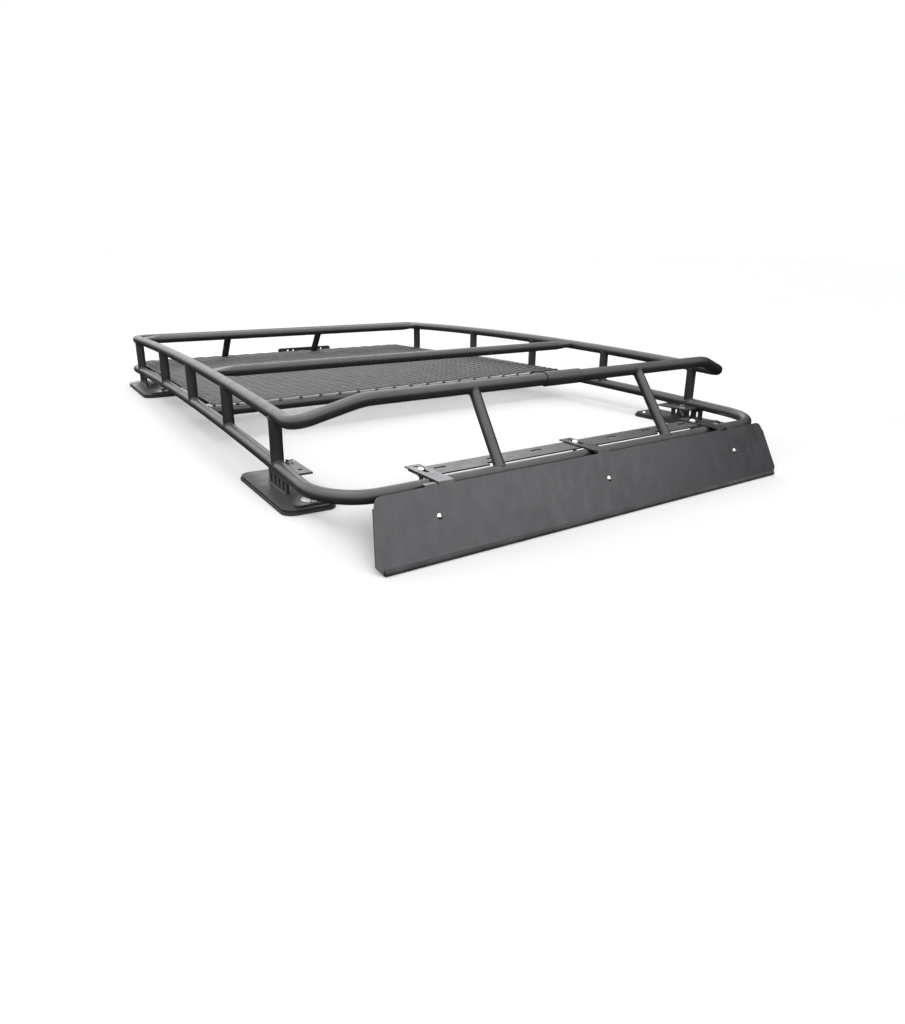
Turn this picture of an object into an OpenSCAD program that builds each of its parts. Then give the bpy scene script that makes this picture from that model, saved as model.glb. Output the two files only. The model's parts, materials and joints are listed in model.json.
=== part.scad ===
// Roof cargo basket: a two-rail tube frame with a mesh floor, four roof feet,
// a light bracket and a wind deflector that slides in its slotted tabs.
// X is across the vehicle, -Y is the front, +Z is up. z = 0 is the underside of the feet.

/* [Frame] */
// Half of the basket's width between rail centres, halfway along it
half_width = 550; // [450:10:650]
// Angle by which each side rail closes towards the rear
taper = 2.9; // [0:0.1:4]
// Radius of the lengthwise crown of the side rails
crown_r = 15000; // [10000:500:40000]
// Height of the lower rail's centre at the top of the crown
lower_z = 64; // [58:1:90]
// Height between the rail centres
rail_gap = 97; // [80:1:140]
// Position of the front post
front_post_y = -616; // [-640:2:-600]
// Distance between the first four posts
post_pitch = 303; // [260:1:305]
// Position of the rear post
rear_post_y = 642; // [620:1:642]

/* [Tubes] */
// Outer diameter of the rails and crossbars
rail_d = 25.4; // [22:0.1:32]
// Outer diameter of the posts
post_d = 24; // [19:0.5:25]
// Outer diameter of the struts
strut_d = 22; // [16:0.5:24]
// Wall of every tube
wall = 2; // [1.2:0.1:3]

/* [Hoops] */
// Position of the upper front bar
upper_front_y = -734; // [-750:2:-720]
// Position of the upper front corners, behind the bar's middle
upper_corner_y = -702; // [-704:1:-698]
// Rise of the upper front bar's middle above its corners
front_rise = 38; // [20:1:60]
// Position of the lower front bar
lower_front_y = -836; // [-850:2:-830]
// Position of the upper rear bar
upper_rear_y = 705; // [700:1:730]
// Position of the lower rear bar
lower_rear_y = 775; // [770:1:800]
// Depth of the lower rear bar's dip in the middle
rear_dip = 12; // [6:1:20]

/* [Floor] */
// Position of the mesh floor's front crossbar
floor_front_y = -140; // [-200:5:-80]
// Thickness of the expanded metal
mesh_t = 3; // [1.5:0.5:4]
// Long way of one diamond of the mesh
diamond_l = 54; // [40:1:90]
// Short way of one diamond of the mesh
diamond_w = 25.5; // [20:0.5:40]
// Width of the mesh's strands
strand_w = 4; // [3:0.2:6]

/* [Feet] */
// Length of a foot's base plate
base_l = 262; // [240:2:270]
// Width of a foot's base plate
base_w = 96; // [80:2:110]
// Thickness of the rubber pad
pad_t = 4; // [2:0.5:6]
// Thickness of the foot's steel plates
plate_t = 5; // [4:0.5:6]

/* [Deflector] */
// Half of the deflector's length along its top edge
deflector_half = 526; // [480:2:540]
// Height of the deflector's face along its slope
deflector_h = 132; // [120:2:160]
// Lean of the face from upright
deflector_lean = 23; // [15:1:32]
// Position of the bend between the tabs and the face
bend_y = -868; // [-880:1:-866]
// Distance from the middle tab to each outer one
tab_pitch = 380; // [360:2:410]
// Spacing of the screws in the deflector's face
screw_pitch = 408; // [380:2:430]
// Length of the slots in the tabs
tab_slot = 46; // [26:1:48]

/* [Hidden] */

rail_r = rail_d / 2;
fit = 0.3;
bend_swell = 0.1;
post_y = [front_post_y, front_post_y + post_pitch, front_post_y + 2 * post_pitch,
    front_post_y + 3 * post_pitch, rear_post_y];
upper_seam = [-656, 660];
lower_seam = [-690, 700];
upper_z = lower_z + rail_gap;
strut_x = 228;
rear_strut_x = [-210, 130];
mid_bar_y = -178;
floor_bar_y = [post_y[2] + 45, post_y[3] + 45];
spade_w = 34;

// --- vectors and rail heights ---

function unit(v) = v / norm(v);
function side_x(y) = half_width - y * tan(taper);
function rail_z(apex, y) = apex - crown_r + sqrt(pow(crown_r, 2) - pow(y / cos(taper), 2));
function rail_slope(y) = -y / crown_r;
function bend_angle(p, i) = acos(unit(p[i] - p[i - 1]) * unit(p[i + 1] - p[i]));
function setback(p, r, i) =
    i == 0 || i == len(p) - 1 ? 0 : r[i] * tan(bend_angle(p, i) / 2);

// A straight rod between two points
module rod(a, b, d) {
    v = b - a;
    translate(a) rotate([0, acos(v.z / norm(v)), atan2(v.y, v.x)])
        cylinder(h = norm(v), d = d, $fn = 48);
}

// The round bend of a bent rod at point i
module elbow(p, r, i, d) {
    u = unit(p[i] - p[i - 1]);
    w = unit(p[i + 1] - p[i]);
    angle = bend_angle(p, i);
    centre = p[i] + unit(w - u) * r[i] / cos(angle / 2);
    ex = unit(p[i] - u * setback(p, r, i) - centre);
    ez = cross(ex, u);
    multmatrix([[ex.x, u.x, ez.x, centre.x], [ex.y, u.y, ez.y, centre.y],
            [ex.z, u.z, ez.z, centre.z], [0, 0, 0, 1]])
        rotate_extrude(angle = angle, $fn = 96) translate([r[i], 0]) circle(d = d + bend_swell, $fn = 48);
}

// A rod through the points p, bent to the radii r at the inner ones. Its straight
// lengths reach 1 mm into the bends, and run on by over at both ends.
module bent_rod(p, r, d, over = 0) {
    last = len(p) - 1;
    for (i = [0 : last - 1]) {
        u = unit(p[i + 1] - p[i]);
        rod(p[i] + u * (i == 0 ? -over : setback(p, r, i) - 1),
            p[i + 1] - u * (i == last - 1 ? -over : setback(p, r, i + 1) - 1), d);
    }
    for (i = [1 : last - 1]) elbow(p, r, i, d);
}

module bent_tube(p, r, d = rail_d) {
    difference() {
        bent_rod(p, r, d);
        bent_rod(p, r, d - 2 * wall, 1);
    }
}

// The crowned side rail of one level, as a solid rod on the left side
module crowned_rod(apex, y0, y1, d) {
    a = acos(y1 / cos(taper) / crown_r);
    b = acos(y0 / cos(taper) / crown_r);
    translate([-half_width, 0, apex - crown_r]) rotate([0, 0, -taper]) rotate([90, 0, 90]) rotate([0, 0, a])
        rotate_extrude(angle = b - a, $fn = 1200) translate([crown_r, 0]) circle(d = d, $fn = 48);
}

module crowned_tube(apex, seam) {
    difference() {
        crowned_rod(apex, seam[0], seam[1], rail_d);
        crowned_rod(apex, seam[0] - 1, seam[1] + 1, rail_d - 2 * wall);
    }
}

module right_side() { mirror([1, 0, 0]) children(); }

module black() { color([0.11, 0.11, 0.12]) children(); }
module steel() { color([0.72, 0.72, 0.70]) children(); }
module rubber() { color([0.05, 0.05, 0.05]) children(); }

// --- upper hoop ---

upper_front_z = rail_z(upper_z, upper_seam[0])
    + rail_slope(upper_seam[0]) * (upper_corner_y - upper_seam[0]);
front_bar_z = upper_front_z + front_rise;
upper_front_path = [[-side_x(upper_seam[0]), upper_seam[0], rail_z(upper_z, upper_seam[0])],
    [-side_x(upper_corner_y), upper_corner_y, upper_front_z],
    [-465, upper_front_y, front_bar_z], [0, upper_front_y, front_bar_z]];
upper_front_radii = [0, 42, 100, 0];

module upper_front_bar() { black() bent_tube(upper_front_path, upper_front_radii); }
module upper_side_rail() { black() crowned_tube(upper_z, upper_seam); }

upper_rear_z = rail_z(upper_z, upper_seam[1])
    + rail_slope(upper_seam[1]) * (upper_rear_y - upper_seam[1]);
module upper_rear_bar() {
    end = [-side_x(upper_seam[1]), upper_seam[1], rail_z(upper_z, upper_seam[1])];
    corner = [-side_x(upper_rear_y), upper_rear_y, upper_rear_z];
    black() bent_tube([end, corner, [-corner.x, corner.y, corner.z], [-end.x, end.y, end.z]],
        [0, 40, 40, 0]);
}

module upper_coupler() {
    black() translate([0, upper_front_y, front_bar_z]) rotate([0, 90, 0]) difference() {
        cylinder(h = 96, d = rail_d + 5, center = true, $fn = 64);
        cylinder(h = 98, d = rail_d, center = true, $fn = 48);
    }
}

// --- lower hoop ---

lower_front_z = rail_z(lower_z, lower_seam[0])
    + rail_slope(lower_seam[0]) * (lower_front_y - lower_seam[0]);
lower_front_path = [[-side_x(lower_seam[0]), lower_seam[0], rail_z(lower_z, lower_seam[0])],
    [-side_x(lower_front_y), lower_front_y, lower_front_z], [0, lower_front_y, lower_front_z]];

module lower_front_bar() { black() bent_tube(lower_front_path, [0, 95, 0]); }
module lower_side_rail() { black() crowned_tube(lower_z, lower_seam); }

lower_rear_z = rail_z(lower_z, lower_seam[1])
    + rail_slope(lower_seam[1]) * (lower_rear_y - lower_seam[1]);
lower_rear_half = [[-side_x(lower_seam[1]), lower_seam[1], rail_z(lower_z, lower_seam[1])],
    [-side_x(lower_rear_y), lower_rear_y, lower_rear_z],
    [-110, lower_rear_y, lower_rear_z], [-60, lower_rear_y, lower_rear_z - rear_dip]];
lower_rear_path = concat(lower_rear_half,
    [for (i = [3 : -1 : 0]) [-lower_rear_half[i].x, lower_rear_half[i].y, lower_rear_half[i].z]]);

module lower_rear_bar() { black() bent_tube(lower_rear_path, [0, 55, 60, 60, 60, 60, 55, 0]); }

// Sleeve inside the lower front bar's joint
module lower_coupler() {
    black() translate([0, lower_front_y, lower_front_z]) rotate([0, 90, 0]) difference() {
        cylinder(h = 150, d = rail_d - 2 * wall, center = true, $fn = 48);
        cylinder(h = 152, d = rail_d - 4 * wall, center = true, $fn = 48);
    }
}

// --- posts, struts and crossbars ---

module post(i) {
    y = post_y[i - 1];
    x = -side_x(y);
    black() difference() {
        rod([x, y, rail_z(lower_z, y)], [x, y, rail_z(upper_z, y)], post_d);
        rod([x, y, rail_z(lower_z, y)], [x, y, rail_z(upper_z, y)], post_d - 2 * wall);
        crowned_rod(lower_z, y - 40, min(y + 40, lower_seam[1]), rail_d);
        crowned_rod(upper_z, max(y - 40, upper_seam[0]), min(y + 40, upper_seam[1]), rail_d);
    }
}

module strut(a, b) {
    black() difference() {
        rod(a, b, strut_d);
        rod(a, b, strut_d - 2 * wall);
        for (p = [a, b]) rod(p - [60, 0, 0], p + [60, 0, 0], rail_d);
    }
}

module front_strut() {
    strut([-strut_x, upper_front_y, front_bar_z], [-strut_x - 6, lower_front_y, lower_front_z]);
}

module rear_strut(x) {
    strut([x, upper_rear_y, upper_rear_z], [x, lower_rear_y, lower_rear_z]);
}

// Crossbar of the upper level, with both ends pressed flat where they meet the rails
module pinched_bar(y) {
    z = rail_z(upper_z, y);
    x = side_x(y);
    neck = x - 62;
    black() difference() {
        union() {
            rod([-neck, y, z], [neck, y, z], rail_d);
            for (side = [-1, 1]) hull() {
                translate([side * neck, y, z]) rotate([0, 90, 0])
                    cylinder(h = 0.1, d = rail_d, center = true, $fn = 32);
                translate([side * (x - 26), y, z]) cube([0.1, spade_w, 8], center = true);
                translate([side * x, y, z]) cube([0.1, spade_w, 8], center = true);
            }
        }
        rod([-neck + 1, y, z], [neck - 1, y, z], rail_d - 2 * wall);
        crowned_rod(upper_z, y - 40, min(y + 40, upper_seam[1]), rail_d);
        right_side() crowned_rod(upper_z, y - 40, min(y + 40, upper_seam[1]), rail_d);
    }
}

// Height of the flat floor's underside: it rises from the rear bar to the front crossbar
floor_front_z = rail_z(lower_z, floor_front_y) + rail_r;
floor_rear_z = lower_rear_z + rail_r + 2.5;
floor_tilt = atan2(floor_front_z - floor_rear_z, lower_rear_y - floor_front_y);
function floor_z(y) = floor_front_z - (y - floor_front_y) * tan(floor_tilt);

module floor_crossbar(y) {
    z = floor_z(y) - rail_r;
    x = side_x(y);
    black() difference() {
        rod([-x, y, z], [x, y, z], rail_d);
        rod([-x, y, z], [x, y, z], rail_d - 2 * wall);
        crowned_rod(lower_z, y - 40, y + 40, rail_d);
        right_side() crowned_rod(lower_z, y - 40, y + 40, rail_d);
    }
}

// --- floor ---

mesh_l = (lower_rear_y - floor_front_y) / cos(floor_tilt) + 8;
notch_w = strut_d + 6;
notch_l = 36;

module diamond() {
    polygon([[-diamond_l / 2 + strand_w, 0], [0, -diamond_w / 2 + strand_w / 2],
        [diamond_l / 2 - strand_w, 0], [0, diamond_w / 2 - strand_w / 2]]);
}

module mesh_floor() {
    edge = 14.5;
    rows = floor(mesh_l / diamond_w) * 2 - 2;
    first = (mesh_l - (rows - 1) * diamond_w / 2) / 2;
    black() translate([0, floor_front_y, floor_front_z]) rotate([-floor_tilt, 0, 0])
        translate([0, -4, 0]) linear_extrude(mesh_t) difference() {
            polygon([for (c = [[-1, 0], [1, 0], [1, mesh_l], [-1, mesh_l]])
                [c[0] * (side_x(floor_front_y - 4 + c[1]) - edge), c[1]]]);
            for (j = [0 : rows - 1], i = [-11 : 11]) {
                x = (i + (j % 2) / 2) * diamond_l;
                y = first + j * diamond_w / 2;
                if (abs(x) + diamond_l / 2 < side_x(floor_front_y - 4 + y) - edge - 6)
                    translate([x, y]) diamond();
            }
            for (x = rear_strut_x) translate([x - notch_w / 2, mesh_l - notch_l]) square([notch_w, notch_l + 1]);
        }
}

module rear_plate() {
    w = 210;
    h = 34;
    black() translate([105, lower_rear_y + rail_r, lower_rear_z]) rotate([90, 0, 0])
        mirror([0, 0, 1]) linear_extrude(3) difference() {
            rounded_plate(w, h, 8, [0, h / 2 - 4]);
            for (x = [-0.32, -0.22, 0.22, 0.32]) translate([x * w, h / 2 + 4]) circle(d = 6.5, $fn = 32);
        }
}

// A flat outline with round corners
module rounded_plate(l, w, r, at = [0, 0]) {
    translate(at) {
        square([l - 2 * r, w], center = true);
        square([l, w - 2 * r], center = true);
        for (x = [-1, 1], y = [-1, 1])
            translate([x * (l / 2 - r), y * (w / 2 - r)]) circle(r = r, $fn = 48);
    }
}

module slot(l, d, at = [0, 0]) {
    translate(at) {
        square([l - d, d], center = true);
        for (x = [-1, 1]) translate([x * (l - d) / 2, 0]) circle(d = d, $fn = 32);
    }
}

// --- light bracket ---

bracket_half = 396;
bracket_t = 3;
bracket_top = lower_front_z + rail_r;
bracket_rear = lower_front_y + 68;
bracket_front = lower_front_y + rail_r + 3;
bolt_y = lower_front_y + 48;

module light_bracket() {
    black() difference() {
        translate([0, 0, bracket_top - bracket_t]) linear_extrude(bracket_t) bracket_outline();
        rod([-bracket_half - 10, lower_front_y, lower_front_z], [bracket_half + 10, lower_front_y, lower_front_z],
            rail_d);
    }
}

module bracket_outline() {
    difference() {
        union() {
            translate([-bracket_half, bracket_front]) square([2 * bracket_half, bracket_rear - bracket_front]);
            for (x = [-bracket_half + 10, 0, bracket_half - 10])
                translate([x - 10, lower_front_y + 4]) square([20, bracket_front - lower_front_y]);
        }
        for (x = [-strut_x - 6, strut_x + 6])
            translate([x - strut_d / 2 - 3, lower_front_y]) square([strut_d + 6, 28]);
        for (x = [-340, -218, -107, 107, 218, 340]) slot(26, 9, [x, bolt_y]);
        for (k = [-1, 0, 1]) translate([k * tab_pitch, bolt_y]) circle(d = 8.5, $fn = 32);
    }
}

// --- feet ---
// Each foot is drawn about its post, x inboard and y along the left rail, then placed.

front_foot = 1;
rear_foot = 5;
front_base_at = 0;
rear_base_at = -70;
riser_l = 96;
flange_l = 94;
flange_at = 10;
flange_drop = 10.5;
flange_holes = [-12, 44];
flange_w = 40;
tab_t = 4;
big_bolt_at = [20, -104];

module at_foot(i) {
    y = post_y[i - 1];
    translate([-side_x(y), y, 0]) rotate([0, 0, -taper]) children();
}

function base_at(i) = i == front_foot ? front_base_at : rear_base_at;
function bolt_at(i) = [big_bolt_at.x, base_at(i) + big_bolt_at.y];
screw_places = [[34, 72], [34, 112]];
stud_l = 22;
stud_d = 10;

module base_outline(i, grow = 0) {
    rounded_plate(base_w + 2 * grow, base_l + 2 * grow, 22, [12, base_at(i)]);
}

module foot_holes(i, bolt_d, screw_d) {
    translate(bolt_at(i)) circle(d = bolt_d, $fn = 48);
    for (p = screw_places) translate([p.x, base_at(i) + p.y]) circle(d = screw_d, $fn = 32);
}

module foot_pad(i) {
    rubber() at_foot(i) linear_extrude(pad_t) difference() {
        base_outline(i, 2);
        foot_holes(i, 11, 7);
    }
}

module foot_base(i) {
    black() at_foot(i) translate([0, 0, pad_t]) linear_extrude(plate_t) difference() {
        base_outline(i);
        foot_holes(i, 11, 7);
    }
}

base_top = pad_t + plate_t;

// Upright plate under the lower rail, lightened by a row of slots
module foot_riser(i) {
    black() difference() {
        at_foot(i) translate([-plate_t / 2, -riser_l / 2, base_top]) rotate([90, 0, 90])
            linear_extrude(plate_t) difference() {
                square([riser_l, lower_z - base_top - 15]);
                for (k = [0 : 3]) translate([15 + k * 22, 13]) rotate(90) slot(19, 7);
            }
        lower_rail_near(i);
    }
}

// Length of the lower rail's outside at one foot
module lower_rail_near(i) {
    y = post_y[i - 1];
    crowned_rod(lower_z, max(y - 70, lower_seam[0]), min(y + 70, lower_seam[1]), rail_d);
}

function flange_top(i) = rail_z(lower_z, post_y[i - 1]) - flange_drop + tab_t / 2;

// Ledge welded to the inboard side of the lower rail above a foot
module rail_tab(i) {
    black() difference() {
        at_foot(i) translate([0, 0, flange_top(i) - tab_t]) linear_extrude(tab_t) difference() {
            translate([plate_t / 2 + 0.5, flange_at - flange_l / 2])
                square([rail_r + flange_w - plate_t / 2 - 0.5, flange_l]);
            for (y = flange_holes) translate([rail_r + 25, y]) circle(d = 9, $fn = 32);
        }
        lower_rail_near(i);
    }
}

module rail_tabs() {
    for (i = [front_foot, rear_foot]) {
        rail_tab(i);
        right_side() rail_tab(i);
    }
}

module four_feet() {
    for (i = [front_foot, rear_foot]) {
        at_foot(i) children(i == front_foot ? 0 : 1);
        right_side() at_foot(i) children(i == front_foot ? 0 : 1);
    }
}

clamp_t = 4;
clamp_at = [20, -88];

module clamp_plate(i) {
    translate([0, 0, base_top]) linear_extrude(clamp_t) difference() {
        rounded_plate(72, 70, 12, [clamp_at.x, base_at(i) + clamp_at.y]);
        translate(bolt_at(i)) circle(d = 11, $fn = 48);
    }
}

module foot_clamp_plates() {
    black() four_feet() {
        clamp_plate(front_foot);
        clamp_plate(rear_foot);
    }
}

// A hexagon bolt with its washer, seated at z = 0 and reaching down by l
module hex_bolt(d, l, washer_d) {
    translate([0, 0, -l]) cylinder(h = l + 1, d = d, $fn = 32);
    cylinder(h = 2, d = washer_d, $fn = 64);
    translate([0, 0, 1]) cylinder(h = 1 + 0.65 * d, d = d * 1.9, $fn = 6);
}

// A button-head screw seated at z = 0 and reaching down by l
module button_screw(d, l) {
    translate([0, 0, -l]) cylinder(h = l + 1, d = d, $fn = 32);
    difference() {
        intersection() {
            cylinder(h = 0.55 * d, d = d * 1.9, $fn = 48);
            translate([0, 0, -0.55 * d]) sphere(d = d * 2.2, $fn = 64);
        }
        translate([0, 0, 0.25 * d]) cylinder(h = d, d = d * 0.65, $fn = 6);
    }
}

module foot_bolt(i) {
    translate(bolt_at(i)) {
        translate([0, 0, base_top + clamp_t]) hex_bolt(stud_d + 0.5, base_top + clamp_t, 34);
        translate([0, 0, -stud_l]) cylinder(h = stud_l + 1, d = stud_d, $fn = 32);
    }
}

module foot_bolts() {
    steel() four_feet() {
        foot_bolt(front_foot);
        foot_bolt(rear_foot);
    }
}

module foot_screw_pair(i) {
    for (p = screw_places)
        translate([p.x, base_at(i) + p.y, base_top]) button_screw(6, base_top);
}

module foot_screws() {
    steel() four_feet() {
        foot_screw_pair(front_foot);
        foot_screw_pair(rear_foot);
    }
}

module flange_bolt(i, y) {
    translate([rail_r + 25, y, flange_top(i)]) hex_bolt(8, 16, 18);
    translate([rail_r + 25, y, flange_top(i) - tab_t - 7]) difference() {
        cylinder(h = 7, d = 14.5, $fn = 6);
        translate([0, 0, -1]) cylinder(h = 9, d = 8, $fn = 32);
    }
}

// The right front ledge is bolted through its front hole, the others through the rear one
module flange_bolts() {
    steel() {
        at_foot(front_foot) flange_bolt(front_foot, flange_holes[1]);
        right_side() at_foot(front_foot) flange_bolt(front_foot, flange_holes[0]);
        at_foot(rear_foot) flange_bolt(rear_foot, flange_holes[1]);
        right_side() at_foot(rear_foot) flange_bolt(rear_foot, flange_holes[1]);
    }
}

// --- wind deflector ---

sheet_t = 2.5;
brace_t = 3;
tab_w = 32;
brace_w = 30;
tab_z = bracket_top + fit;
tab_rear = bolt_y + 32;
edge_drop = 5;
screw_drop = 58;
trim_d = 11;

// Placed so that x runs down the face from the bend and z is the outward normal
module on_face() {
    translate([0, bend_y, tab_z + sheet_t]) rotate([90 - deflector_lean, 0, 0]) children();
}

module face_outline() {
    r = 18;
    foot_half = deflector_half + 20;
    difference() {
        polygon([[-deflector_half, -edge_drop], [deflector_half, -edge_drop], [foot_half, -deflector_h + 16],
            [foot_half - 12, -deflector_h], [-foot_half + 12, -deflector_h], [-foot_half, -deflector_h + 16]]);
        for (s = [-1, 1]) translate([s * (deflector_half - r), -edge_drop - r]) difference() {
            translate([s > 0 ? 0 : -r - 4, 0]) square([r + 4, r + 1]);
            circle(r = r, $fn = 64);
        }
    }
}

// Where a plane parallel to the face, at this depth behind it, reaches height z
function face_y(depth, z) = bend_y + depth * cos(deflector_lean)
    + (z - tab_z - sheet_t + depth * sin(deflector_lean)) * tan(deflector_lean);

// Tab bent back from the top of the face over the bar and the light bracket
module face_tab() {
    low = tab_z + sheet_t - (edge_drop + 3) * cos(deflector_lean);
    difference() {
        translate([-tab_w / 2, 0, 0]) rotate([90, 0, 90]) linear_extrude(tab_w)
            polygon([[tab_rear, tab_z + sheet_t], [bend_y, tab_z + sheet_t], [face_y(0, low), low],
                [face_y(sheet_t, low), low], [face_y(sheet_t, tab_z), tab_z], [tab_rear, tab_z]]);
        translate([0, bolt_y, tab_z - 1]) linear_extrude(sheet_t + 2) rotate(90) slot(tab_slot, 9);
    }
}

module deflector_panel() {
    black() union() {
        on_face() translate([0, 0, -sheet_t]) linear_extrude(sheet_t) difference() {
            face_outline();
            for (k = [-1, 0, 1]) translate([k * screw_pitch, -screw_drop]) circle(d = 6.4, $fn = 32);
        }
        for (k = [-1, 0, 1]) translate([k * tab_pitch, 0, 0]) face_tab();
    }
}

module deflector_trim() {
    foot_half = deflector_half + 7;
    rubber() on_face() translate([0, -deflector_h + 3, -sheet_t / 2]) rotate([0, 90, 0]) difference() {
        cylinder(h = 2 * foot_half, d = trim_d, center = true, $fn = 48);
        translate([0, 15, 0]) cube([sheet_t, 36, 2 * foot_half + 2], center = true);
    }
}

// Stiffener behind the face, from its screw up to the tab beside it, with a short lip under the tab
module brace(k) {
    left = min(k * tab_pitch, k * screw_pitch) - brace_w / 2;
    width = abs(k) * (screw_pitch - tab_pitch) + brace_w;
    back = bend_y + 11;
    foot_z = tab_z - (screw_drop + 18) * cos(deflector_lean);
    difference() {
        translate([left, 0, 0]) rotate([90, 0, 90]) linear_extrude(width)
            polygon([[back, tab_z], [face_y(sheet_t, tab_z), tab_z], [face_y(sheet_t, foot_z), foot_z],
                [face_y(sheet_t + brace_t, foot_z), foot_z],
                [face_y(sheet_t + brace_t, tab_z - brace_t), tab_z - brace_t], [back, tab_z - brace_t]]);
        on_face() translate([k * screw_pitch, -screw_drop, -sheet_t - brace_t - 2])
            cylinder(h = brace_t + 4, d = 6.4, $fn = 32);
    }
}

module deflector_braces() { black() for (k = [-1, 0, 1]) brace(k); }

module face_screws() {
    steel() on_face() for (k = [-1, 0, 1])
        translate([k * screw_pitch, -screw_drop, 0]) button_screw(6, 14);
}

module face_nuts() {
    steel() on_face() for (k = [-1, 0, 1])
        translate([k * screw_pitch, -screw_drop, -sheet_t - brace_t - 5]) difference() {
            cylinder(h = 5, d = 11, $fn = 6);
            translate([0, 0, -1]) cylinder(h = 7, d = 6, $fn = 32);
        }
}

module tab_bolts() {
    steel() for (k = [-1, 0, 1])
        translate([k * tab_pitch, bolt_y, tab_z + sheet_t + fit]) button_screw(8, 22);
}

module tab_nuts() {
    steel() for (k = [-1, 0, 1])
        translate([k * tab_pitch, bolt_y, bracket_top - bracket_t - 7]) difference() {
            cylinder(h = 7, d = 14.5, $fn = 6);
            translate([0, 0, -1]) cylinder(h = 9, d = 8, $fn = 32);
        }
}

// --- placing: x = 0 and y = 0 at the middle of the whole, z = 0 at its lowest point ---

trim_centre = [bend_y - (deflector_h - 3) * sin(deflector_lean) + sheet_t / 2 * cos(deflector_lean),
    tab_z + sheet_t - (deflector_h - 3) * cos(deflector_lean) - sheet_t / 2 * sin(deflector_lean)];
front_end = trim_centre.x - trim_d / 2;
rear_end = lower_rear_y + rail_r + 3;

module placed() {
    translate([0, -(front_end + rear_end) / 2, trim_d / 2 - trim_centre.y]) children();
}

// --- nodes ---

placed() upper_front_bar();  // upper_front_bar_left
placed() right_side() upper_front_bar();  // upper_front_bar_right
placed() upper_side_rail();  // upper_side_rail_left
placed() right_side() upper_side_rail();  // upper_side_rail_right
placed() upper_rear_bar();
placed() upper_coupler();
placed() lower_front_bar();  // lower_front_bar_left
placed() right_side() lower_front_bar();  // lower_front_bar_right
placed() lower_side_rail();  // lower_side_rail_left
placed() right_side() lower_side_rail();  // lower_side_rail_right
placed() lower_rear_bar();
placed() lower_coupler();
for (i = [1 : 5]) {
    placed() post(i);
    placed() right_side() post(i);
}
placed() front_strut();  // front_strut_left
placed() right_side() front_strut();  // front_strut_right
placed() rear_strut(rear_strut_x[0]);  // rear_strut_left
placed() rear_strut(rear_strut_x[1]);  // rear_strut_right
placed() pinched_bar(mid_bar_y);  // mid_crossbar
placed() pinched_bar(post_y[4]);  // rear_crossbar
placed() floor_crossbar(floor_front_y);  // floor_crossbar_front
placed() floor_crossbar(floor_bar_y[0]);  // floor_crossbar_mid
placed() floor_crossbar(floor_bar_y[1]);  // floor_crossbar_rear
placed() mesh_floor();
placed() rear_plate();
placed() light_bracket();
placed() foot_pad(front_foot);  // foot_pad_front_left
placed() right_side() foot_pad(front_foot);  // foot_pad_front_right
placed() foot_pad(rear_foot);  // foot_pad_rear_left
placed() right_side() foot_pad(rear_foot);  // foot_pad_rear_right
placed() foot_base(front_foot);  // foot_base_front_left
placed() right_side() foot_base(front_foot);  // foot_base_front_right
placed() foot_base(rear_foot);  // foot_base_rear_left
placed() right_side() foot_base(rear_foot);  // foot_base_rear_right
placed() foot_riser(front_foot);  // foot_riser_front_left
placed() right_side() foot_riser(front_foot);  // foot_riser_front_right
placed() foot_riser(rear_foot);  // foot_riser_rear_left
placed() right_side() foot_riser(rear_foot);  // foot_riser_rear_right
placed() rail_tabs();
placed() foot_clamp_plates();
placed() foot_bolts();
placed() foot_screws();
placed() flange_bolts();
placed() deflector_panel();
placed() deflector_trim();
placed() deflector_braces();
placed() face_screws();
placed() face_nuts();
placed() tab_bolts();
placed() tab_nuts();
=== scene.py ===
import json
import math

import bpy
from mathutils import Matrix, Vector


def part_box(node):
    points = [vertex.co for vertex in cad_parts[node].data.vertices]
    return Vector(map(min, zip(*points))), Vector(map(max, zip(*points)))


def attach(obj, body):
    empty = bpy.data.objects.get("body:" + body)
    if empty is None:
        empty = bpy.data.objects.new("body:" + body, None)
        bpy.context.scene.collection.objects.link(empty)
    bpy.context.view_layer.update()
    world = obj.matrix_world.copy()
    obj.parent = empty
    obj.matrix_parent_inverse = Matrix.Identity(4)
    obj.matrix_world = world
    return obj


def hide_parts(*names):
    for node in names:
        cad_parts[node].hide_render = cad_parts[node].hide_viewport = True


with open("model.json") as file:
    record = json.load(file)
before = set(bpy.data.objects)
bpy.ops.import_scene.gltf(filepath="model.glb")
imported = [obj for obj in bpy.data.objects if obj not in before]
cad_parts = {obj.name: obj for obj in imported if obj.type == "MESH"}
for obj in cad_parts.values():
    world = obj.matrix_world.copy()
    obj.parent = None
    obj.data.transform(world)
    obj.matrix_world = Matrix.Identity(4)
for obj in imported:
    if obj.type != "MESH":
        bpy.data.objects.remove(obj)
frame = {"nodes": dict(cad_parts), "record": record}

bpy.context.view_layer.update()

# --- the frame's own measures, in metres, and where the CAD puts its drawing origin ---

HALF_WIDTH = 0.55
TAPER = math.radians(2.9)
CROWN_R = 15.0
LOWER_Z = 0.064
UPPER_Z = LOWER_Z + 0.097
RAIL_R, POST_R, STRUT_R = 0.0127, 0.012, 0.011
POST_Y = (-0.616, -0.313, -0.010, 0.293, 0.642)
UPPER_FRONT = Vector((0, -0.734, 0))
UPPER_SEAM, UPPER_CORNER_Y, FRONT_RISE = -0.656, -0.702, 0.038
LOWER_FRONT_Y, LOWER_SEAM = -0.836, (-0.690, 0.700)
UPPER_REAR_SEAM, UPPER_REAR_Y, LOWER_REAR_Y = 0.660, 0.705, 0.775
STRUT_X, REAR_STRUT_X = 0.228, (-0.210, 0.130)
MID_BAR_Y, FLOOR_FRONT_Y = -0.178, -0.140
FLOOR_BAR_Y = (FLOOR_FRONT_Y, POST_Y[2] + 0.045, POST_Y[3] + 0.045)
BASE_TOP = 0.009
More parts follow.
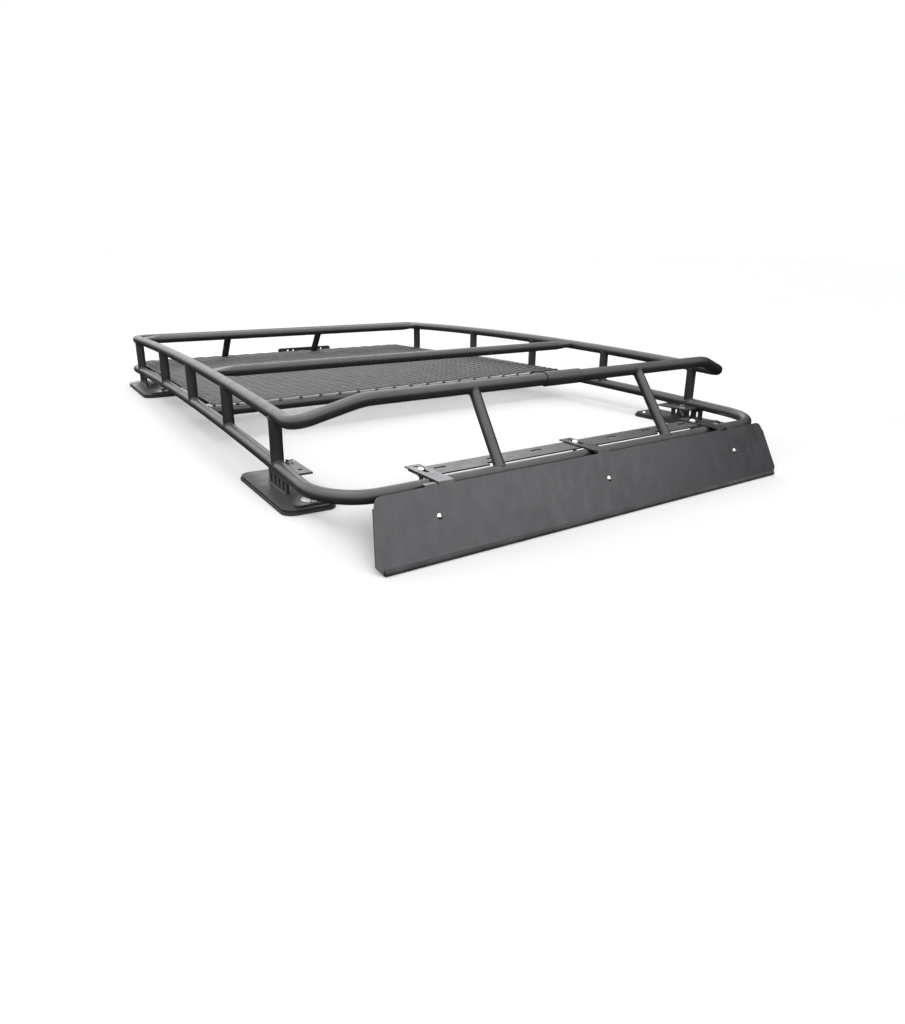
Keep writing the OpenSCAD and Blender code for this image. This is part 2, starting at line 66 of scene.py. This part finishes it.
PLATE_T, RISER_L = 0.005, 0.096
LEDGE_L, LEDGE_T, LEDGE_AT, LEDGE_DROP = 0.094, 0.004, 0.010, 0.0105
SPADE_W, SPADE_T = 0.034, 0.008

post_low, post_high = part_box("post_left_1")
ORIGIN = Vector((0, (post_low.y + post_high.y) / 2 - POST_Y[0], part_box("foot_pad_front_left")[0].z))


def side_x(y):
    """Half of the width between rail centres at y."""
    return HALF_WIDTH - y * math.tan(TAPER)


def rail_z(apex, y):
    """Height of a crowned rail's centre at y."""
    return apex - CROWN_R + math.sqrt(CROWN_R ** 2 - (y / math.cos(TAPER)) ** 2)


def rail_dir(side, y):
    """Direction of a side rail at y; side is -1 on the left and 1 on the right."""
    return Vector((-side * math.tan(TAPER), 1, -y / CROWN_R)).normalized()


FRONT_BAR_Z = (rail_z(UPPER_Z, UPPER_SEAM)
               - UPPER_SEAM / CROWN_R * (UPPER_CORNER_Y - UPPER_SEAM) + FRONT_RISE)
LOWER_FRONT_Z = rail_z(LOWER_Z, LOWER_SEAM[0]) - LOWER_SEAM[0] / CROWN_R * (LOWER_FRONT_Y - LOWER_SEAM[0])
UPPER_REAR_Z = rail_z(UPPER_Z, UPPER_REAR_SEAM) - UPPER_REAR_SEAM / CROWN_R * (UPPER_REAR_Y - UPPER_REAR_SEAM)
LOWER_REAR_Z = rail_z(LOWER_Z, LOWER_SEAM[1]) - LOWER_SEAM[1] / CROWN_R * (LOWER_REAR_Y - LOWER_SEAM[1])
FLOOR_FRONT_Z = rail_z(LOWER_Z, FLOOR_FRONT_Y) + RAIL_R
FLOOR_REAR_Z = LOWER_REAR_Z + RAIL_R + 0.0025
FLOOR_TILT = math.atan2(FLOOR_FRONT_Z - FLOOR_REAR_Z, LOWER_REAR_Y - FLOOR_FRONT_Y)


def floor_z(y):
    """Height of the flat floor's underside."""
    return FLOOR_FRONT_Z - (y - FLOOR_FRONT_Y) * math.tan(FLOOR_TILT)


# --- node materials ---

class Shader:
    """A Principled material with object coordinates and short ways to add nodes."""

    def __init__(self, name):
        self.material = bpy.data.materials.new(name)
        self.material.use_nodes = True
        self.tree = self.material.node_tree
        self.tree.nodes.clear()
        output = self.add("ShaderNodeOutputMaterial")
        self.bsdf = self.add("ShaderNodeBsdfPrincipled")
        self.link(self.bsdf.outputs[0], output.inputs[0])
        self.coords = self.add("ShaderNodeTexCoord").outputs["Object"]

    def add(self, kind):
        return self.tree.nodes.new(kind)

    def link(self, a, b):
        self.tree.links.new(a, b)

    def noise(self, scale, detail=2.0, stretch=(1, 1, 1)):
        mapping = self.add("ShaderNodeMapping")
        mapping.inputs["Scale"].default_value = stretch
        self.link(self.coords, mapping.inputs["Vector"])
        node = self.add("ShaderNodeTexNoise")
        node.inputs["Scale"].default_value = scale
        node.inputs["Detail"].default_value = detail
        self.link(mapping.outputs[0], node.inputs["Vector"])
        return node.outputs["Fac"]

    def ranged(self, value, low, high, to_low, to_high):
        node = self.add("ShaderNodeMapRange")
        for name, v in (("From Min", low), ("From Max", high), ("To Min", to_low), ("To Max", to_high)):
            node.inputs[name].default_value = v
        self.link(value, node.inputs["Value"])
        return node.outputs[0]

    def mixed(self, factor, a, b):
        """Colour a at factor 0 and b at 1; each is a colour or another node's output."""
        node = self.add("ShaderNodeMix")
        node.data_type = "RGBA"
        self.link(factor, node.inputs["Factor"])
        for socket, value in ((node.inputs[6], a), (node.inputs[7], b)):
            if isinstance(value, tuple):
                socket.default_value = (*value, 1)
            else:
                self.link(value, socket)
        return node.outputs[2]

    def calc(self, operation, a, b):
        node = self.add("ShaderNodeMath")
        node.operation = operation
        for socket, value in zip(node.inputs, (a, b)):
            if isinstance(value, (int, float)):
                socket.default_value = value
            else:
                self.link(value, socket)
        return node.outputs[0]

    def bump(self, *layers):
        """Layers of (height, strength, distance in metres), one over the other."""
        before = None
        for height, strength, distance in layers:
            node = self.add("ShaderNodeBump")
            node.inputs["Strength"].default_value = strength
            node.inputs["Distance"].default_value = distance
            self.link(height, node.inputs["Height"])
            if before:
                self.link(before, node.inputs["Normal"])
            before = node.outputs[0]
        self.link(before, self.bsdf.inputs["Normal"])

    def facing_up(self):
        """0 on upright and hanging faces, rising to 1 on level ones."""
        normal = self.add("ShaderNodeNewGeometry").outputs["Normal"]
        split = self.add("ShaderNodeSeparateXYZ")
        self.link(normal, split.inputs[0])
        return self.ranged(split.outputs["Z"], 0.35, 1.0, 0.0, 1.0)


def powder_coat(name, dark, light, rough, dust_and_sheen, grain, wave=0.0):
    """Baked black powder: fine grain, cloudy colour, and a pale film on what faces up, which is partly dust
    and partly a painted highlight of the light from above.
    """
    s = Shader(name)
    clouds = s.noise(7.0, 4.0)
    specks = s.noise(1500.0, 1.0)
    body = s.mixed(s.ranged(clouds, 0.35, 0.68, 0, 1), dark, light)
    body = s.mixed(s.ranged(specks, 0.60, 0.78, 0, 0.5), body, tuple(1.9 * c for c in light))
    patches = s.ranged(s.noise(26.0, 5.0), 0.38, 0.72, 0.25, 1.0)
    # The pale film on level faces is partly dust and partly a painted highlight: it lightens the tops as
    # light from above would.
    top_dust_and_sheen = s.calc("MULTIPLY", s.calc("MULTIPLY", s.facing_up(), patches), dust_and_sheen)
    s.link(s.mixed(top_dust_and_sheen, body, (0.19, 0.185, 0.175)), s.bsdf.inputs["Base Color"])
    shine = s.ranged(s.noise(48.0, 3.0, (1, 1, 0.35)), 0.3, 0.7, rough - 0.05, rough + 0.06)
    s.link(s.calc("ADD", shine, s.calc("MULTIPLY", top_dust_and_sheen, 0.6)), s.bsdf.inputs["Roughness"])
    s.bsdf.inputs["Specular IOR Level"].default_value = 0.55
    layers = [(s.noise(820.0, 2.0), grain, 0.00025), (s.noise(190.0, 2.0), grain * 0.7, 0.0006)]
    if wave:
        layers.insert(0, (s.noise(5.5, 1.0), wave, 0.010))
    s.bump(*layers)
    return s.material


def stainless():
    s = Shader("stainless_steel")
    s.bsdf.inputs["Metallic"].default_value = 1.0
    tint = s.ranged(s.noise(160.0, 4.0), 0.3, 0.7, 0, 1)
    s.link(s.mixed(tint, (0.42, 0.415, 0.40), (0.62, 0.61, 0.59)), s.bsdf.inputs["Base Color"])
    s.link(s.ranged(s.noise(420.0, 3.0, (1, 1, 0.2)), 0.3, 0.7, 0.20, 0.36), s.bsdf.inputs["Roughness"])
    s.bump((s.noise(900.0, 2.0, (1, 1, 0.15)), 0.10, 0.0002))
    return s.material


def rubber(name, rib_scale):
    s = Shader(name)
    clouds = s.ranged(s.noise(30.0, 4.0), 0.3, 0.7, 0, 1)
    s.link(s.mixed(clouds, (0.010, 0.010, 0.011), (0.024, 0.024, 0.025)), s.bsdf.inputs["Base Color"])
    s.link(s.ranged(s.noise(240.0, 2.0), 0.3, 0.7, 0.58, 0.74), s.bsdf.inputs["Roughness"])
    s.bsdf.inputs["Specular IOR Level"].default_value = 0.4
    s.bump((s.noise(rib_scale, 2.0, (1, 0.5, 0.5)), 0.45, 0.0006), (s.noise(1300.0, 1.0), 0.2, 0.0002))
    return s.material


# In each coat, the value after rough sets the pale film on level faces, which is partly dust and partly a
# painted highlight.
FINISH = {
    "tube_coat": powder_coat("black_powder_coat", (0.009, 0.0092, 0.0096), (0.014, 0.0142, 0.0150),
                             rough=0.38, dust_and_sheen=0.10, grain=0.16),
    "mesh_coat": powder_coat("mesh_powder_coat", (0.010, 0.0102, 0.0106), (0.016, 0.0162, 0.0170),
                             rough=0.38, dust_and_sheen=0.16, grain=0.20),
    "sheet_coat": powder_coat("sheet_powder_coat", (0.011, 0.0115, 0.0125), (0.016, 0.0165, 0.0180),
                              rough=0.28, dust_and_sheen=0.06, grain=0.12, wave=0.04),
    "stainless": stainless(),
    "pad_rubber": rubber("pad_rubber", 420.0),
    "trim_rubber": rubber("trim_rubber", 650.0),
}

slot_of = {part["node"]: part["material_slot"] for part in frame["record"]["subparts"]}
for name, node in frame["nodes"].items():
    for slot in node.material_slots:
        slot.link = "OBJECT"
        slot.material = FINISH[slot_of[name]]


# --- eased edges on the sheet and plate parts ---

def ease_edges(node, width, segments=2):
    """Rounds a CAD part's sharp edges with modifiers; its own mesh isn't changed."""
    weld = node.modifiers.new("join faces", "WELD")
    weld.merge_threshold = 1e-6
    bevel = node.modifiers.new("eased edges", "BEVEL")
    bevel.width = width
    bevel.segments = segments
    bevel.limit_method = "ANGLE"
    bevel.angle_limit = math.radians(42)
    bevel.use_clamp_overlap = True
    shading = node.modifiers.new("flat faces stay flat", "WEIGHTED_NORMAL")
    shading.mode = "FACE_AREA_WITH_ANGLE"
    shading.weight = 60


EASED = {"foot_base": 0.0007, "foot_riser": 0.0006, "foot_clamp": 0.0006, "rail_tabs": 0.0006,
         "light_bracket": 0.0005, "rear_plate": 0.0005, "deflector_braces": 0.0004,
         "deflector_panel": 0.0004, "upper_coupler": 0.0008, "foot_pad": 0.0008}
for name, node in frame["nodes"].items():
    for stem, width in EASED.items():
        if name.startswith(stem):
            ease_edges(node, width)


# --- mesh helpers ---

def mesh_piece(name, vertices, faces, finish, body="basket"):
    """A smooth-shaded piece with a record slot's finish, riding on a body.

    Its points are in the CAD's drawing frame.
    """
    mesh = bpy.data.meshes.new(name)
    mesh.from_pydata([Vector(v) + ORIGIN for v in vertices], [], faces)
    mesh.shade_smooth()
    mesh.materials.append(FINISH[finish])
    piece = bpy.data.objects.new(name, mesh)
    bpy.context.scene.collection.objects.link(piece)
    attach(piece, body)
    return piece


def tube_faces(rings, sides, start, closed):
    """Quads of a tube whose rings follow each other from vertex start; open tubes get end caps."""
    faces = []
    for i in range(rings if closed else rings - 1):
        a, b = start + i * sides, start + (i + 1) % rings * sides
        for k in range(sides):
            n = (k + 1) % sides
            faces.append((a + k, a + n, b + n, b + k))
    if not closed:
        faces.append(tuple(start + k for k in reversed(range(sides))))
        faces.append(tuple(start + (rings - 1) * sides + k for k in range(sides)))
    return faces


# --- expanded metal floor ---

DIAMOND_L, DIAMOND_W = 0.054, 0.0255
STRAND_W, STRAND_T, STRAND_CHAMFER = 0.0044, 0.0020, 0.00035
STRAND_TILT = math.radians(33)
BOND_L = 0.009
FLOOR_EDGE = 0.0155
OVERHANG = 0.004  # of the mesh in front of and behind the bars' centres
MESH_L = (LOWER_REAR_Y - FLOOR_FRONT_Y) / math.cos(FLOOR_TILT) + 2 * OVERHANG
NOTCH_W, NOTCH_L = 2 * STRUT_R + 0.006, 0.036
STRIP_W, STRIP_H, STRIP_CHAMFER, STRIP_INSET, STRIP_STEPS = 0.0044, 0.004, 0.0004, 0.0012, 24
FIRST_ROW = 0.0138
ROWS = int((MESH_L - FIRST_ROW) / DIAMOND_W * 2)
FLOOR_FRAME = (Matrix.Translation((0, FLOOR_FRONT_Y, FLOOR_FRONT_Z))
               @ Matrix.Rotation(-FLOOR_TILT, 4, "X") @ Matrix.Translation((0, -OVERHANG, 0)))
ACROSS = Vector((0, math.cos(STRAND_TILT), math.sin(STRAND_TILT)))
OUTWARD = Vector((0, -math.sin(STRAND_TILT), math.cos(STRAND_TILT)))
STRAND_MID_Z = STRAND_W * math.sin(STRAND_TILT) + STRAND_T / 2 * math.cos(STRAND_TILT)


def row_y(row):
    return FIRST_ROW + row * DIAMOND_W / 2


def strand_point(row, x):
    """The centre of the strand between rows row and row + 1, at x."""
    half = DIAMOND_L / 2
    place = (x / half - (1 + row) % 2) % 2  # 0 at a bond of its own row, 1 at one of the next
    flat = BOND_L / 2 / half
    reach = min(max((min(place, 2 - place) - flat) / (1 - 2 * flat), 0), 1)
    low = Vector((x, row_y(row), STRAND_MID_Z)) + ACROSS * STRAND_W / 2
    high = Vector((x, row_y(row + 1), STRAND_MID_Z)) - ACROSS * STRAND_W / 2
    return low.lerp(high, reach)


def strand_spans(row):
    """Where this row's strand runs: the floor's width, without the notches round the rear struts."""
    y = row_y(row) + DIAMOND_W / 4
    end = side_x(FLOOR_FRONT_Y - OVERHANG + y) - FLOOR_EDGE
    spans, start = [], -end
    if y > MESH_L - NOTCH_L:
        for x in REAR_STRUT_X:
            spans.append((start, x - NOTCH_W / 2))
            start = x + NOTCH_W / 2
    return spans + [(start, end)]


def strand_stations(start, end):
    """The x of each ring: the ends, both sides of each bond and the middle of each slanted length."""
    half = DIAMOND_L / 2
    found = {start, end}
    for m in range(math.floor(start / half), math.ceil(end / half) + 1):
        for x in (m * half - BOND_L / 2, m * half + BOND_L / 2, (m + 0.5) * half):
            if start + 0.001 < x < end - 0.001:
                found.add(x)
    return sorted(found)


def expanded_metal():
    w, t, c = STRAND_W / 2, STRAND_T / 2, STRAND_CHAMFER
    profile = [(-w + c, -t), (w - c, -t), (w, -t + c), (w, t - c),
               (w - c, t), (-w + c, t), (-w, t - c), (-w, -t + c)]
    vertices, faces = [], []
    for row in range(-1, ROWS):
        for span in strand_spans(row):
            stations = strand_stations(*span)
            faces += tube_faces(len(stations), len(profile), len(vertices), False)
            for x in stations:
                centre = strand_point(row, x)
                vertices += [FLOOR_FRAME @ (centre + ACROSS * a + OUTWARD * b) for a, b in profile]
    piece = mesh_piece("expanded_metal_floor", vertices, faces, "mesh_coat")
    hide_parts("mesh_floor")


def floor_edging():
    """The flat strip that each side of the expanded metal is welded to."""
    vertices, faces = [], []
    for side in (-1, 1):
        w, h, c = STRIP_W / 2, STRIP_H, STRIP_CHAMFER
        ring = [(-w, c), (-w + c, 0), (w - c, 0), (w, c), (w, h - c), (w - c, h), (-w + c, h), (-w, h - c)]
        ys = [MESH_L * k / STRIP_STEPS for k in range(STRIP_STEPS + 1)]
        faces += tube_faces(len(ys), len(ring), len(vertices), False)
        for y in ys:
            x = side * (side_x(FLOOR_FRONT_Y - OVERHANG + y) - FLOOR_EDGE - STRIP_INSET)
            vertices += [FLOOR_FRAME @ Vector((x + a, y, b)) for a, b in ring]
    mesh_piece("floor_edge_strips", vertices, faces, "mesh_coat")


# --- weld beads ---

BEAD_R, LEDGE_BEAD_R, FOOT_BEAD_R = 0.0017, 0.0014, 0.0021
RIPPLE = 0.0026
LEDGE_BEAD_INSET = 0.003
OUTSIDE = 0.05  # how far off a rail's centre a path toward it starts
DAB_L, DAB_W, DAB_H = 0.0052, 0.0036, 0.0028


def bead(path, vertices, faces, closed=True, radius=BEAD_R):
    """A rippled bead of weld along a path of points."""
    sides, run = 7, 0.0
    rings = len(path)
    faces += tube_faces(rings, sides, len(vertices), closed)
    for i, point in enumerate(path):
        after = path[(i + 1) % rings] if closed or i < rings - 1 else point
        before = path[i - 1] if closed or i else point
        along = (after - before).normalized()
        side = along.cross(Vector((0.31, 0.22, 0.93))).normalized()
        up = along.cross(side)
        swell = radius * (1 + 0.16 * math.cos(2 * math.pi * run / RIPPLE))
        if not closed and i in (0, rings - 1):
            swell *= 0.4
        for k in range(sides):
            turn = 2 * math.pi * k / sides
            vertices.append(point + (side * math.cos(turn) + up * math.sin(turn)) * swell)
        run += (after - point).length


def dense(corners, step=0.0009):
    """Points every step along a closed polygon."""
    points = []
    for i, a in enumerate(corners):
        b = corners[(i + 1) % len(corners)]
        count = max(2, round((b - a).length / step))
        points += [a.lerp(b, k / count) for k in range(count)]
    return points


def round_outline(radius, count=72):
    return [Vector((radius * math.cos(2 * math.pi * k / count), radius * math.sin(2 * math.pi * k / count)))
            for k in range(count)]


def flat_outline(length, width):
    a, b = length / 2, width / 2
    return dense([Vector((a, b)), Vector((-a, b)), Vector((-a, -b)), Vector((a, -b))])


def joint_path(start, toward, outline, across, rail_point, rail_along):
    """Where a part of this outline, run from start along toward, meets a rail's surface."""
    toward = toward.normalized()
    u = (across - toward * across.dot(toward)).normalized()
    v = toward.cross(u)
    level = lambda p: p - rail_along * p.dot(rail_along)
    path = []
    for o in outline:
        q = start + u * o.x + v * o.y
        w, k = level(q - rail_point), level(toward)
        a, b, c = k.dot(k), 2 * w.dot(k), w.dot(w) - RAIL_R ** 2
        root = b * b - 4 * a * c
        path.append(q + toward * ((-b - math.sqrt(max(root, 0))) / (2 * a)))
    return path


def weld_beads():
    vertices, faces = [], []
    flat_y = Vector((0, 1, 0))
    flat_x = Vector((1, 0, 0))
    down = Vector((0, 0, -1))
    for side in (-1, 1):
        for y in POST_Y:  # posts
            along = rail_dir(side, y)
            for apex, toward in ((LOWER_Z, down), (UPPER_Z, -down)):
                rail = Vector((side * side_x(y), y, rail_z(apex, y)))
                outline = round_outline(POST_R)
                start = rail - toward * OUTSIDE
                bead(joint_path(start, toward, outline, flat_y, rail, along), vertices, faces)
        for y in FLOOR_BAR_Y:  # floor crossbars
            bar = Vector((0, y, floor_z(y) - RAIL_R))
            rail = Vector((side * side_x(y), y, rail_z(LOWER_Z, y)))
            outline = round_outline(RAIL_R - 0.0002)
            bead(joint_path(bar, flat_x * side, outline, flat_y, rail, rail_dir(side, y)), vertices, faces)
        for y in (MID_BAR_Y, POST_Y[4]):  # pressed ends of the upper crossbars
            bar = Vector((0, y, rail_z(UPPER_Z, y)))
            rail = Vector((side * side_x(y), y, rail_z(UPPER_Z, y)))
            outline = flat_outline(SPADE_W, SPADE_T)
            bead(joint_path(bar, flat_x * side, outline, flat_y, rail, rail_dir(side, y)), vertices, faces)
        for y in (POST_Y[0], POST_Y[4]):  # ledges and risers of the feet
            along = rail_dir(side, y)
            rail = Vector((side * side_x(y), y, rail_z(LOWER_Z, y)))
            level_along = Vector((along.x, along.y, 0)).normalized()
            outboard = Vector((level_along.y, -level_along.x, 0)) * side
            ledge = rail - outboard * OUTSIDE + level_along * LEDGE_AT + down * LEDGE_DROP
            outline = flat_outline(LEDGE_L - 2 * LEDGE_BEAD_INSET, LEDGE_T)
            bead(joint_path(ledge, outboard, outline, level_along, rail, along), vertices, faces,
                 radius=LEDGE_BEAD_R)
            outline = flat_outline(RISER_L, PLATE_T)
            bead(joint_path(rail + down * OUTSIDE, -down, outline, level_along, rail, along), vertices, faces)
            foot = Vector((rail.x, rail.y, BASE_TOP))
            corners = [foot + level_along * a * RISER_L / 2 + outboard * b * PLATE_T / 2
                       for a, b in ((1, 1), (-1, 1), (-1, -1), (1, -1))]
            bead(dense(corners), vertices, faces, radius=FOOT_BEAD_R)
    struts = [(Vector((s * STRUT_X, UPPER_FRONT.y, FRONT_BAR_Z)),
               Vector((s * (STRUT_X + 0.006), LOWER_FRONT_Y, LOWER_FRONT_Z))) for s in (-1, 1)]
    struts += [(Vector((x, UPPER_REAR_Y, UPPER_REAR_Z)), Vector((x, LOWER_REAR_Y, LOWER_REAR_Z)))
               for x in REAR_STRUT_X]
    for top, bottom in struts:
        for a, b in ((top, bottom), (bottom, top)):
            outline = round_outline(STRUT_R)
            bead(joint_path(a.lerp(b, 0.5), a - b, outline, flat_x, a, flat_x), vertices, faces)
    mesh_piece("weld_beads", vertices, faces, "tube_coat")


def tack_welds():
    """A flat dab where each bond of the expanded metal rests on a crossbar."""
    vertices, faces = [], []
    rings, sides = 5, 10
    for y in (*FLOOR_BAR_Y, LOWER_REAR_Y):
        along = (y - FLOOR_FRONT_Y) / math.cos(FLOOR_TILT) + OVERHANG
        row = max(-1, min(ROWS, round((along - FIRST_ROW) / (DIAMOND_W / 2))))
        shift = (1 + row) % 2
        for m in range(-9, 10):
            x = (m + shift / 2) * DIAMOND_L
            beyond = abs(x) > side_x(y) - FLOOR_EDGE - 0.012
            notched = y == LOWER_REAR_Y and any(abs(x - s) < NOTCH_W for s in REAR_STRUT_X)
            if beyond or notched:
                continue
            centre = Vector((x, row_y(row) - 0.0015, 0.0008))
            start = len(vertices)
            for i in range(rings):
                lift = math.pi / 2 * i / rings
                for k in range(sides):
                    turn = 2 * math.pi * k / sides
                    offset = (DAB_L * math.cos(turn) * math.cos(lift),
                              DAB_W * math.sin(turn) * math.cos(lift), DAB_H * math.sin(lift))
                    vertices.append(FLOOR_FRAME @ (centre + Vector(offset)))
            vertices.append(FLOOR_FRAME @ (centre + Vector((0, 0, DAB_H))))
            faces += tube_faces(rings, sides, start, False)[:-1]
            top = start + (rings - 1) * sides
            faces += [(top + k, top + (k + 1) % sides, start + rings * sides) for k in range(sides)]
    mesh_piece("floor_tack_welds", vertices, faces, "tube_coat")


expanded_metal()
floor_edging()
weld_beads()
tack_welds()


# --- floor, lights and camera ---

def stage_piece(name, vertices, faces, material):
    mesh = bpy.data.meshes.new(name)
    mesh.from_pydata(vertices, [], faces)
    mesh.shade_smooth()
    mesh.materials.append(material)
    piece = bpy.data.objects.new(name, mesh)
    bpy.context.scene.collection.objects.link(piece)
    piece.visible_glossy = False
    return piece


def stage_floor():
    """A pale floor: level under the feet, easing down to the deflector's edge in front of them."""
    s = Shader("pale_floor")
    clouds = s.ranged(s.noise(2.5, 3.0), 0.3, 0.7, 0, 1)
    s.link(s.mixed(clouds, (0.400, 0.400, 0.396), (0.415, 0.415, 0.411)), s.bsdf.inputs["Base Color"])
    s.bsdf.inputs["Roughness"].default_value = 0.9
    s.bsdf.inputs["Specular IOR Level"].default_value = 0.1
    top, reach = ORIGIN.z, 60.0
    fall_from, fall_to = -0.700, -0.870
    ys = [-reach] + [fall_to + (fall_from - fall_to) * k / 32 for k in range(33)] + [reach]
    vertices, faces = [], []
    for y in ys:
        t = min(max((y - fall_to) / (fall_from - fall_to), 0), 1)
        z = top * (3 * t * t - 2 * t ** 3) - 0.0006
        vertices += [(-reach, y, z), (reach, y, z)]
    for k in range(len(ys) - 1):
        faces.append((2 * k, 2 * k + 1, 2 * k + 3, 2 * k + 2))
    stage_piece("studio_floor", vertices, faces, s.material)


def backdrop():
    """A white cylinder far round the scene, which gives no light."""
    material = bpy.data.materials.new("white_backdrop")
    material.use_nodes = True
    tree = material.node_tree
    tree.nodes.clear()
    glow = tree.nodes.new("ShaderNodeEmission")
    glow.inputs["Color"].default_value = (1, 1, 1, 1)
    output = tree.nodes.new("ShaderNodeOutputMaterial")
    tree.links.new(glow.outputs[0], output.inputs[0])
    sides, radius = 96, 55.0
    vertices = [(radius * math.cos(2 * math.pi * k / sides), radius * math.sin(2 * math.pi * k / sides), z)
                for z in (-1.0, 60.0) for k in range(sides)]
    faces = [(k, (k + 1) % sides, sides + (k + 1) % sides, sides + k) for k in range(sides)]
    faces.append(tuple(sides + k for k in range(sides)))
    wall = stage_piece("studio_backdrop", vertices, faces, material)
    wall.visible_diffuse = False
    wall.visible_shadow = False


def lighting():
    """A soft sky: bright overhead, dark at the horizon, with a dark side towards the right front."""
    world = bpy.data.worlds.new("studio")
    world.use_nodes = True
    bpy.context.scene.world = world
    tree = world.node_tree
    back = tree.nodes["Background"]
    direction = tree.nodes.new("ShaderNodeTexCoord").outputs["Generated"]
    split = tree.nodes.new("ShaderNodeSeparateXYZ")
    tree.links.new(direction, split.inputs[0])

    def ramp(value, low, high, to_low, to_high):
        node = tree.nodes.new("ShaderNodeMapRange")
        node.interpolation_type = "SMOOTHSTEP"
        for name, v in (("From Min", low), ("From Max", high), ("To Min", to_low), ("To Max", to_high)):
            node.inputs[name].default_value = v
        tree.links.new(value, node.inputs["Value"])
        return node.outputs[0]

    aside = tree.nodes.new("ShaderNodeVectorMath")
    aside.operation = "DOT_PRODUCT"
    aside.inputs[1].default_value = (0.996, 0.087, 0)
    tree.links.new(direction, aside.inputs[0])
    product = tree.nodes.new("ShaderNodeMath")
    product.operation = "MULTIPLY"
    tree.links.new(ramp(split.outputs["Z"], 0.0, 0.30, 0.03, 2.8), product.inputs[0])
    tree.links.new(ramp(aside.outputs["Value"], 0.67, 0.75, 1.0, 0.02), product.inputs[1])
    tree.links.new(product.outputs[0], back.inputs["Strength"])
    back.inputs["Color"].default_value = (0.97, 0.975, 1.0, 1)
    lamp = bpy.data.lights.new("overhead", "AREA")
    lamp.shape = "RECTANGLE"
    lamp.size, lamp.size_y = 2.4, 2.4
    lamp.energy = 40
    holder = bpy.data.objects.new("overhead", lamp)
    bpy.context.scene.collection.objects.link(holder)
    holder.location = (-0.9, -0.4, 3.4)
    holder.rotation_euler = (-holder.location).to_track_quat("-Z", "Y").to_euler()


def camera():
    data = bpy.data.cameras.new("camera")
    data.sensor_width = 36.0
    data.lens = 25.85
    data.clip_start, data.clip_end = 0.05, 200
    view = bpy.data.objects.new("camera", data)
    bpy.context.scene.collection.objects.link(view)
    right = Vector((0.8193, -0.5732, 0.0136)).normalized()
    ahead = Vector((0.5438, 0.7692, -0.3356)).normalized()
    up = right.cross(ahead).normalized()
    right = ahead.cross(up)
    turn = Matrix((right, up, -ahead)).transposed().to_4x4()
    view.matrix_world = Matrix.Translation((-1.0661, -1.7917, 0.4961)) @ turn
    bpy.context.scene.camera = view


stage_floor()
backdrop()
lighting()
camera()
bpy.context.scene.view_settings.view_transform = "Standard"

bpy.context.view_layer.update()
